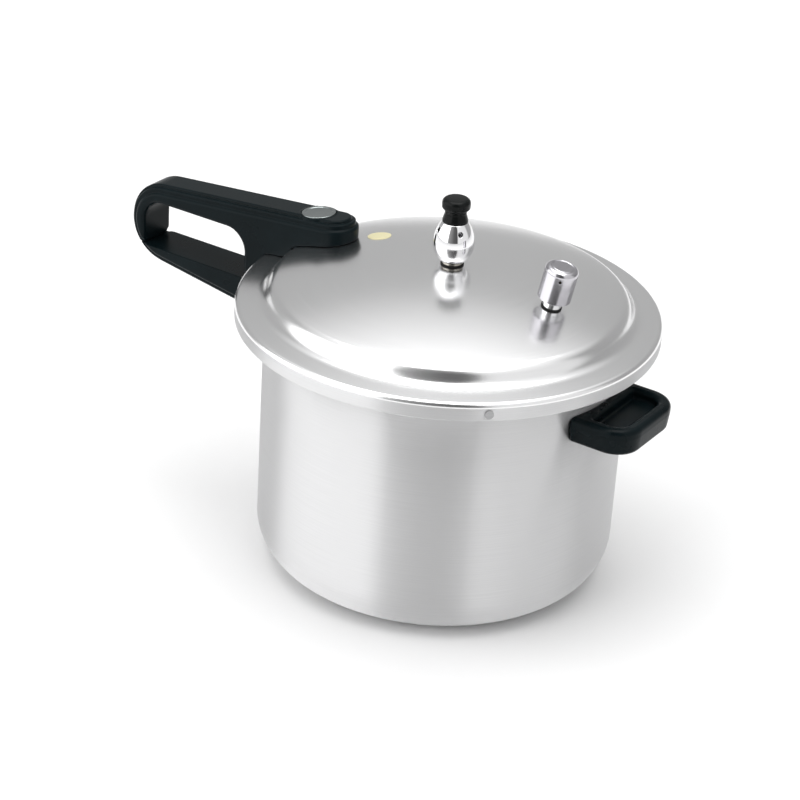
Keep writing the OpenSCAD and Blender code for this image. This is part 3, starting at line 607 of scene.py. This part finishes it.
TOP_LINE = line(math.sin(SLOPE), math.cos(SLOPE), TIP_S, TIP_TOP)
END_LINE = line(1, 0, END_S, 0)
END_Z = top_z(END_S - END_TOP_R) - END_TOP_R / math.cos(SLOPE)
UNDER_LINE = line(math.sin(UNDER), -math.cos(UNDER), END_S - END_LOW_R + END_LOW_R * math.sin(UNDER),
                  END_Z - END_LOW_R * math.cos(UNDER))
HOLE_TOP = line(0, 1, 0, top_z(END_S - END_TOP_R) - BAR_T)
HOLE_IN_S = SKIRT_R / MM + SEAT + COLUMN_T


def handle_side(s, z):
    """Distance to the loop's outline, seen from the side."""
    upper_end = corner(s, z, TOP_LINE, END_LINE, END_TOP_R)
    lower_end = corner(s, z, END_LINE, UNDER_LINE, END_LOW_R)
    return np.maximum(upper_end, lower_end)


def handle_plan(s, y, w):
    """Distance to a strip of width w, inset evenly, with a half-round inner end."""
    centre = TIP_S + HANDLE_W / 2
    return np.where(s < centre, np.hypot(s - centre, y), np.abs(y)) - w / 2


def finger_hole(s, z):
    """Distance to the hole inside the loop: a level top, upright ends, open below."""
    inner = line(-1, 0, HOLE_IN_S, 0)
    outer = line(1, 0, END_S - BAR_T, 0)
    return np.maximum(corner(s, z, inner, HOLE_TOP, HOLE_IN_R), corner(s, z, HOLE_TOP, outer, HOLE_OUT_R))


def lid_field(r, z):
    """Distance to the lid's outside, in millimetres, from the same outline as the lid's own."""
    skirt_r, flange_z, foot_r, foot_z = (v / MM for v in (SKIRT_R, FLANGE_Z, FOOT_R, FOOT_Z))
    shoulder_r, shoulder_z = SHOULDER_R / MM, SHOULDER_Z / MM
    rise = math.atan2(foot_z - flange_z, skirt_r - EDGE_R / MM - foot_r)
    lean = math.atan2(foot_r - shoulder_r, shoulder_z - foot_z)
    flange = line(math.sin(rise), math.cos(rise), foot_r, foot_z)
    wall = line(math.cos(lean), math.sin(lean), foot_r, foot_z)
    brim = corner(r, z, line(1, 0, skirt_r, 0), flange, EDGE_R / MM)
    foot = -corner(r, z, tuple(-v for v in flange), tuple(-v for v in wall), FOOT_ROUND / MM)
    near = shoulder_r - SHOULDER_REACH
    tilt = math.asin(near * MM / DOME_R)
    slope = line(math.sin(tilt), math.cos(tilt), near, float(dome_z(near * MM)) / MM)
    shoulder = corner(r, z, wall, slope, SHOULDER_ROUND / MM)
    dome = np.hypot(r, z - (APEX_Z - DOME_R) / MM) - DOME_R / MM
    raised = np.where(r < near, dome, np.where(r < shoulder_r + 0.5, shoulder, foot))
    return np.where(r > (foot_r + skirt_r) / 2, brim, raised)


def lid_screw_frame(s, y, z):
    """Height above the handle's top and distance from the axis of the lid screw."""
    ds, dz = s - SCREW_S, z - top_z(SCREW_S)
    up = math.sin(SLOPE) * ds + math.cos(SLOPE) * dz
    along = math.cos(SLOPE) * ds - math.sin(SLOPE) * dz
    return up, np.hypot(along, y)


def upper_field(x, y, z):
    """The half that rides the lid: three steps, a boss round the disc, open below for the fingers."""
    s = -x
    side = handle_side(s, z)
    body = round_max(side + BODY_DROP, handle_plan(s, y, HANDLE_W), BODY_EDGE)
    shelf = round_max(side + SHELF_DROP, handle_plan(s, y, SHELF_W), 1.0)
    strip = round_max(side, handle_plan(s, y, STRIP_W), STRIP_EDGE)
    up, off = lid_screw_frame(s, y, z)
    boss = round_max(side, np.maximum(off - CAP_R - BOSS_WALL, np.abs(y) - SHELF_W / 2), 0.8)
    solid = round_min(round_min(body, shelf, 0.5), round_min(strip, boss, 0.8), 0.4)
    solid = carve(solid, finger_hole(s, z), HOLE_EDGE)
    recess = np.maximum.reduce([-up - CAP_DEPTH, up - 1, off - CAP_R - CAP_GAP])
    solid = carve(solid, recess, 0.15)
    solid = np.maximum(solid, -np.maximum(up + CAP_DEPTH, off - WELL_R))
    solid = round_max(solid, PARTING + SEAT - z, 0.5)
    r = np.hypot(x, y)
    lid_out = np.where(z < SKIRT_ONLY_BELOW, r - SKIRT_R / MM, lid_field(r, z))
    return round_max(solid, SEAT - lid_out, 0.5)


upper = field_mesh("upper_handle_moulding", upper_field, (-235, -15, 145.5), (-68, 15, 204), HANDLE_CELL,
                   MAT["phenolic"])
keep(upper, "lid", "phenolic", "upper_handle")


def box_field(x, y, z, low, high):
    """Distance to a box from corner low to corner high."""
    return np.maximum.reduce([low[0] - x, x - high[0], low[1] - y, y - high[1], low[2] - z, z - high[2]])


# Bracket tongue, the pocket for its pad and rivets, and the screw's bore and countersink
TONGUE_T = 3.0
POCKET_DEEP = 3.55
POCKET_END = 165.0
BORE_R, SINK_R, SCREW_LAND = 2.8, 4.8, 2.0


def grip_cuts(s, y, z, half_w, pad_h, tongue_z, tongue_w, tongue_s, screw_s):
    """Room in a grip for its bracket's pad and rivets, the tongue, and the screw from below."""
    pot_r = POT_R / MM
    pad_z = tongue_z + TONGUE_T / 2
    room = pad_h / 2 + SEAT
    pad = box_field(s, y, z, (0, -half_w, pad_z - room), (POCKET_END, half_w, pad_z + room))
    pocket = np.maximum(pad, np.hypot(s, y) - pot_r - POCKET_DEEP)
    slot = box_field(s, y, z, (pot_r - 1, -tongue_w / 2 - SEAT, tongue_z - SEAT),
                     (tongue_s + SEAT, tongue_w / 2 + SEAT, tongue_z + TONGUE_T + SEAT))
    off = np.hypot(s - screw_s, y)
    bore = np.maximum(off - BORE_R, z - tongue_z - TONGUE_T)
    sink = np.maximum(off - SINK_R, z - tongue_z + SCREW_LAND)
    return np.minimum.reduce([pocket, slot, bore, sink])


def lower_field(x, y, z):
    """The half fixed to the pot: the loop's outline below the parting plane, with the same steps."""
    s = -x
    side = handle_side(s, z)
    outer = round_max(side + BODY_DROP, np.abs(y) - HANDLE_W / 2, BODY_EDGE)
    middle = round_max(side + SHELF_DROP, np.abs(y) - SHELF_W / 2, 1.2)
    inner = round_max(side, np.abs(y) - STRIP_W / 2, STRIP_EDGE)
    solid = round_min(round_min(outer, middle, 0.5), inner, 0.8)
    solid = round_max(solid, z - PARTING + SEAT / 2, 0.5)
    solid = round_max(solid, POT_R / MM + SEAT - np.hypot(x, y), 0.6)
    cuts = grip_cuts(s, y, z, half_w=12, pad_h=15, tongue_z=PARTING - 11.5, tongue_w=9, tongue_s=154,
                     screw_s=142)
    return np.maximum(solid, -cuts)


lower = field_mesh("lower_handle_moulding", lower_field, (-235, -15, 116), (-107, 15, 148), HANDLE_CELL,
                   MAT["phenolic"])
keep(lower, "pot", "phenolic", "lower_handle")


# ---------- Helper grip ----------
HELPER_END, HELPER_W, HELPER_R = 143.5, 64.0, 17.0
HELPER_LOW, HELPER_TOP = 124.8, 141.3
# Rim round the hollow, the hollow's depth and where it starts, and the draw towards the underside
HELPER_RIM, HELPER_DEEP, HELPER_BACK = 8.0, 6.5, 116.0
TAPER, TAPER_BELOW_TOP, TAPER_H = 0.12, 6.0, 12.0
HELPER_CELL = 0.6


def helper_plan(x, y):
    """Distance to the grip's plan outline."""
    dx = x - (HELPER_END - HELPER_R)
    dy = np.abs(y) - (HELPER_W / 2 - HELPER_R)
    return np.hypot(np.maximum(dx, 0), np.maximum(dy, 0)) + np.minimum(np.maximum(dx, dy), 0) - HELPER_R


def helper_field(x, y, z):
    """Block grip, drawn in towards its underside, with a hollow in its top."""
    plan = helper_plan(x, y)
    taper = plan + np.clip(HELPER_TOP - TAPER_BELOW_TOP - z, 0, TAPER_H) * TAPER
    solid = round_max(round_max(taper, z - HELPER_TOP, 3.4), HELPER_LOW - z, 2.6)
    hollow = round_max(plan + HELPER_RIM, HELPER_TOP - HELPER_DEEP - z, 2.0)
    hollow = round_max(hollow, HELPER_BACK - x, 1.5)
    solid = carve(solid, hollow, 3.0)
    solid = round_max(solid, POT_R / MM + SEAT - np.hypot(x, y), 0.6)
    cuts = grip_cuts(x, y, z, half_w=19.3, pad_h=10, tongue_z=HELPER_LOW + 4.6, tongue_w=20, tongue_s=134,
                     screw_s=127)
    return np.maximum(solid, -cuts)


helper = field_mesh("helper_moulding", helper_field, (105, -33, 123.5), (144.5, 33, 142.5), HELPER_CELL,
                    MAT["phenolic"])
keep(helper, "pot", "phenolic", "helper_handle")


# ---------- Regulator ----------
SMALL_CELL = 0.3
WEIGHT_Z = 198.2
WEIGHT_H, BELLY_H = 24.4, 10.0
BELLY_R, WEIGHT_TOP_R, WEIGHT_BASE_R = 12.35, 7.65, 8.0
# Neck that carries the knob, the hollow for the vent pipe, the needle's bore and the steam holes
NECK_R, NECK_H = 3.6, 8.0
CAVITY_R, CAVITY_ROOF = 4.2, 2.6
NEEDLE_BORE_R, NEEDLE_BORE_UP = 1.85, 2.0
STEAM_HOLE_R, STEAM_HOLE_H, STEAM_HOLE_AZ = 1.5, 19.8, math.radians(-37)


def arc_radius(rise, run):
    """Radius of an arc that falls back by rise over a distance run from its widest point."""
    return (rise ** 2 + run ** 2) / (2 * rise)


def cross_holes(x, y, z, azimuth, height, radius):
    """Distance to two level holes drilled through the axis at right angles."""
    u = x * math.cos(azimuth) + y * math.sin(azimuth)
    v = -x * math.sin(azimuth) + y * math.cos(azimuth)
    return np.minimum(np.hypot(u, z - height), np.hypot(v, z - height)) - radius


def weight_field(x, y, z):
    """Barrel of two arcs with a neck for the knob, hollow inside, with steam holes."""
    r = np.hypot(x, y)
    z = z - WEIGHT_Z
    h = z - BELLY_H
    up_r = arc_radius(BELLY_R - WEIGHT_TOP_R, WEIGHT_H - BELLY_H)
    low_r = arc_radius(BELLY_R - WEIGHT_BASE_R, BELLY_H)
    skin = np.where(h > 0, np.hypot(r - BELLY_R + up_r, h) - up_r, np.hypot(r - BELLY_R + low_r, h) - low_r)
    solid = round_max(round_max(skin, z - WEIGHT_H, 0.3), -z, 0.5)
    solid = np.minimum(solid, np.maximum(r - NECK_R, np.abs(z - WEIGHT_H) - NECK_H))
    solid = carve(solid, np.maximum(r - CAVITY_R, z - WEIGHT_H + CAVITY_ROOF), 0.4)
    solid = np.maximum(solid, -np.maximum(r - NEEDLE_BORE_R, z - WEIGHT_H - NEEDLE_BORE_UP))
    return carve(solid, cross_holes(x, y, z, STEAM_HOLE_AZ, STEAM_HOLE_H, STEAM_HOLE_R), 0.25)


weight = field_mesh("regulator_weight_turned", weight_field, (-13, -13, 197.4), (13, 13, 231.6), SMALL_CELL,
                    MAT["chrome"])
keep(weight, "regulator", "chrome", "regulator_weight")


def knob_outline():
    """Outline of the knob, from (r, height above the weight, corner radius) in millimetres."""
    low = WEIGHT_Z + WEIGHT_H + 0.05
    points = [(3.65, 8.3), (3.65, 0), (7.65, 0, 0.3), (7.65, 1.2, 0.5), (6.4, 5.4, 2.5), (6.7, 7.2, 1.0),
              (8.5, 8.6, 2.2), (8.5, 14.6, 3.4), (0, 14.6), (0, 8.3)]
    return filleted([(r * MM, (h + low) * MM, *[v * MM for v in rest]) for r, h, *rest in points], 8)


knob = lathe("regulator_knob_moulding", knob_outline(), MAT["knob"], even_angles(128))
keep(knob, "regulator", "knob_black", "regulator_knob")


# ---------- Safety valve cap ----------
SAFETY_FRAME = on_dome(69 * MM)
SAFETY_BACK = np.array(SAFETY_FRAME.inverted())
SAFETY_R, SAFETY_LOW, SAFETY_TOP = 10.0, 6.3, 27.5
SAFETY_MIDDLE, SAFETY_ROOM = 18.0, 15.5
CHAMBER_R, CHAMBER_TOP = 8.5, 25.7
GROOVE_R, GROOVE_W = 6.4, 0.5
CAP_HOLE_R, CAP_HOLE_H, CAP_HOLE_AZ = 0.9, 22.1, math.radians(-61)


def cap_field(x, y, z):
    """Hollow cylinder leaning with the dome, with a ring groove on top and holes for the steam."""
    u, v, w = (m[0] * x + m[1] * y + m[2] * z + m[3] / MM for m in SAFETY_BACK[:3])
    r = np.hypot(u, v)
    solid = round_max(round_max(r - SAFETY_R, w - SAFETY_TOP, 3.2), SAFETY_LOW - w, 0.5)
    solid = carve(solid, np.hypot(r - GROOVE_R, w - SAFETY_TOP - 0.1) - GROOVE_W, 0.2)
    solid = carve(solid, np.maximum(r - CHAMBER_R, w - CHAMBER_TOP), 0.3)
    return carve(solid, cross_holes(u, v, w, CAP_HOLE_AZ, CAP_HOLE_H, CAP_HOLE_R), 0.15)


centre = SAFETY_FRAME @ Vector((0, 0, SAFETY_MIDDLE * MM)) / MM
cap_low, cap_high = ([c + side * SAFETY_ROOM for c in centre] for side in (-1, 1))
cap = field_mesh("safety_cap_turned", cap_field, cap_low, cap_high, SMALL_CELL, MAT["cap"])
keep(cap, "lid", "chrome", "safety_cap")


# ---------- Disc over the lid screw ----------
def disc_outline():
    """Outline of the disc, dished inside its rim, from (r, height, corner radius) in millimetres."""
    points = [(0, 0), (10.45, 0, 0.2), (10.45, 1.6, 0.5), (8.6, 1.6, 0.3), (8.2, 1.25, 0.4), (0, 1.2)]
    return filleted([tuple(v * MM for v in point) for point in points], 6)


disc_place = (Matrix.Translation((-SCREW_S * MM, 0, top_z(SCREW_S) * MM)) @ Matrix.Rotation(-SLOPE, 4, "Y")
              @ Matrix.Translation((0, 0, (0.02 - CAP_DEPTH) * MM)))
disc = lathe("handle_disc", disc_outline(), MAT["disc"], even_angles(96), disc_place)
keep(disc, "lid", "cap_steel", "handle_cap")


# ---------- Badge ----------
BADGE_R = 7.25 * MM
BADGE_LOW, BADGE_T, BADGE_EDGE_T = 0.02 * MM, 0.4 * MM, 0.25 * MM


def badge_outline():
    """Thin disc bent to the dome, thinner at its edge."""
    steps = [(float(r), math.sqrt(DOME_R ** 2 - r * r) - DOME_R) for r in np.linspace(0, BADGE_R, 12)]
    under = [(r, drop + BADGE_LOW) for r, drop in steps]
    over = [(r, drop + BADGE_T) for r, drop in steps[:-1]]
    edge_r, edge_drop = steps[-1]
    return under + [(edge_r, edge_drop + BADGE_EDGE_T)] + over[::-1]


badge_place = on_dome(63.5 * MM, math.radians(166.5))
badge = lathe("badge_disc", badge_outline(), MAT["badge"], even_angles(96), badge_place)
keep(badge, "lid", "badge_gold", "badge")


# ---------- CAD nodes that stay ----------
CARRIED = {
    "handle_bracket": "steel", "handle_bracket_rivets": "rivet", "lower_handle_screw": "screw",
    "helper_bracket": "steel", "helper_bracket_rivets": "rivet", "helper_screw": "screw",
    "lid_stop_pin": "pin", "lid_gasket": "silicone", "handle_stud": "steel", "handle_screw": "screw",
    "vent_pipe": "nickel", "vent_washer_top": "rubber", "vent_washer_bottom": "rubber",
    "vent_nut": "nickel", "vent_strainer": "steel", "regulator_needle": "screw",
    "safety_body": "chrome", "safety_washer_top": "rubber", "safety_washer_bottom": "rubber",
    "safety_nut": "steel", "safety_plunger": "brass", "safety_spring": "spring", "safety_plug": "brass",
}
for node, look in CARRIED.items():
    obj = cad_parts[node]
    obj.data.materials.clear()
    obj.data.materials.append(MAT[look])


# ---------- Floor ----------
def floor_material():
    mat, n = new_material("pale_floor")
    n.set(Specular__IOR__Level=0.2, Roughness=0.9)
    grain = even_noise(n, 6, 2)
    n.link(n.ramp(grain, [(0.3, grey(0.89)), (0.7, grey(0.91))]), n.shader.inputs["Base Color"])
    return mat


FLOOR_HALF = 9
floor_corners = [(x * FLOOR_HALF, y * FLOOR_HALF, 0) for x, y in ((-1, -1), (1, -1), (1, 1), (-1, 1))]
floor = make_object("floor", floor_corners, [(0, 1, 2, 3)], floor_material())


# ---------- Light: azimuths are from the camera's side, negative to its left ----------
CAMERA_AZ = math.radians(31)
CAMERA_EL = math.radians(28.511)
SIDE_PANELS = [(-180, 0.47), (-112, 0.42), (-103, 1.9), (-36, 2.1), (-31, 0.35), (0, 0.12), (20, 0.08),
               (26, 0.9), (88, 0.8), (98, 0.35), (150, 0.42), (175, 0.47)]
OVERHEAD = [(36, 0.0), (56, 1.0)]
OVERHEAD_AROUND = [(-36, 1), (-31, 0), (18, 0), (24, 1)]
OVER_LEVEL = 1.0
PANEL_EL = math.radians(88)
PANEL_AWAY, PANEL_SIZE, PANEL_POWER = 2.6, 2.4, 46
PANEL_AIM = Vector((0, 0, 0.12))


def direction(elevation):
    """Unit vector on the camera's azimuth."""
    return Vector((math.sin(CAMERA_AZ) * math.cos(elevation), -math.cos(CAMERA_AZ) * math.cos(elevation),
                   math.sin(elevation)))


def around(panels):
    """Ramp stops for a whole turn, from (azimuth in degrees, brightness)."""
    return [((azimuth + 180) / 360, grey(level)) for azimuth, level in panels]


def studio_world():
    """Soft studio room: panels all round by azimuth, and a bright ceiling that leaves the front open."""
    world = bpy.data.worlds.new("studio")
    bpy.context.scene.world = world
    world.use_nodes = True
    n = Nodes(world.node_tree, "Background")
    coords = n.add("ShaderNodeTexCoord")
    turned = n.add("ShaderNodeVectorRotate", _rotation_type="Z_AXIS", Angle=math.pi / 2 - CAMERA_AZ)
    n.link(coords.outputs["Generated"], turned.inputs["Vector"])
    split = n.add("ShaderNodeSeparateXYZ")
    n.link(turned.outputs[0], split.inputs[0])
    share = n.add("ShaderNodeMapRange", From__Min=-math.pi, From__Max=math.pi)
    n.link(n.maths("ARCTAN2", split.outputs["Y"], split.outputs["X"]), share.inputs["Value"])
    sides = n.ramp(share.outputs[0], around(SIDE_PANELS))
    high = n.ramp(split.outputs["Z"], [(math.sin(math.radians(el)), grey(level)) for el, level in OVERHEAD])
    ceiling = n.maths("MULTIPLY", high, n.ramp(share.outputs[0], around(OVERHEAD_AROUND)))
    mix = n.add("ShaderNodeMix", _data_type="RGBA")
    n.link(ceiling, mix.inputs["Factor"])
    n.link(sides, mix.inputs["A"])
    mix.inputs["B"].default_value = (*grey(OVER_LEVEL), 1)
    n.link(mix.outputs["Result"], n.shader.inputs["Color"])
    n.set(Strength=1.0)


def overhead_panel():
    """Square area light above the pot."""
    light = bpy.data.lights.new("overhead_panel", "AREA")
    light.shape = "RECTANGLE"
    light.size = PANEL_SIZE
    light.size_y = PANEL_SIZE
    light.energy = PANEL_POWER
    lamp = bpy.data.objects.new("overhead_panel", light)
    lamp.location = PANEL_AIM + direction(PANEL_EL) * PANEL_AWAY
    lamp.rotation_euler = direction(PANEL_EL).to_track_quat("Z", "Y").to_euler()
    bpy.context.scene.collection.objects.link(lamp)


studio_world()
overhead_panel()


# ---------- Camera ----------
CAMERA_AT = Vector((0.69336, -1.15395, 0.80789))
CAMERA_ROLL = math.radians(4.206)
SENSOR_W = 36
LENS = 112.3542
AIM_ON_SENSOR = (1.76445, -1.764)


def place_camera():
    """Camera turned so that its picture's middle is AIM_ON_SENSOR off the fitted axis, in millimetres."""
    data = bpy.data.cameras.new("camera")
    data.sensor_width = SENSOR_W
    data.lens = LENS
    camera = bpy.data.objects.new("camera", data)
    bpy.context.scene.collection.objects.link(camera)
    bpy.context.scene.camera = camera
    toward = direction(CAMERA_EL)
    right = Vector((math.cos(CAMERA_AZ), math.sin(CAMERA_AZ), 0))
    up = toward.cross(right)
    rolled_right = right * math.cos(CAMERA_ROLL) + up * math.sin(CAMERA_ROLL)
    rolled_up = -right * math.sin(CAMERA_ROLL) + up * math.cos(CAMERA_ROLL)
    axis = Matrix((rolled_right, rolled_up, toward)).transposed()
    aim = Vector((*AIM_ON_SENSOR, -LENS)).normalized()
    turn = aim.rotation_difference(Vector((0, 0, -1))).to_matrix()
    camera.matrix_world = Matrix.Translation(CAMERA_AT) @ (axis @ turn).to_4x4()


place_camera()
bpy.context.scene.view_settings.view_transform = "Standard"
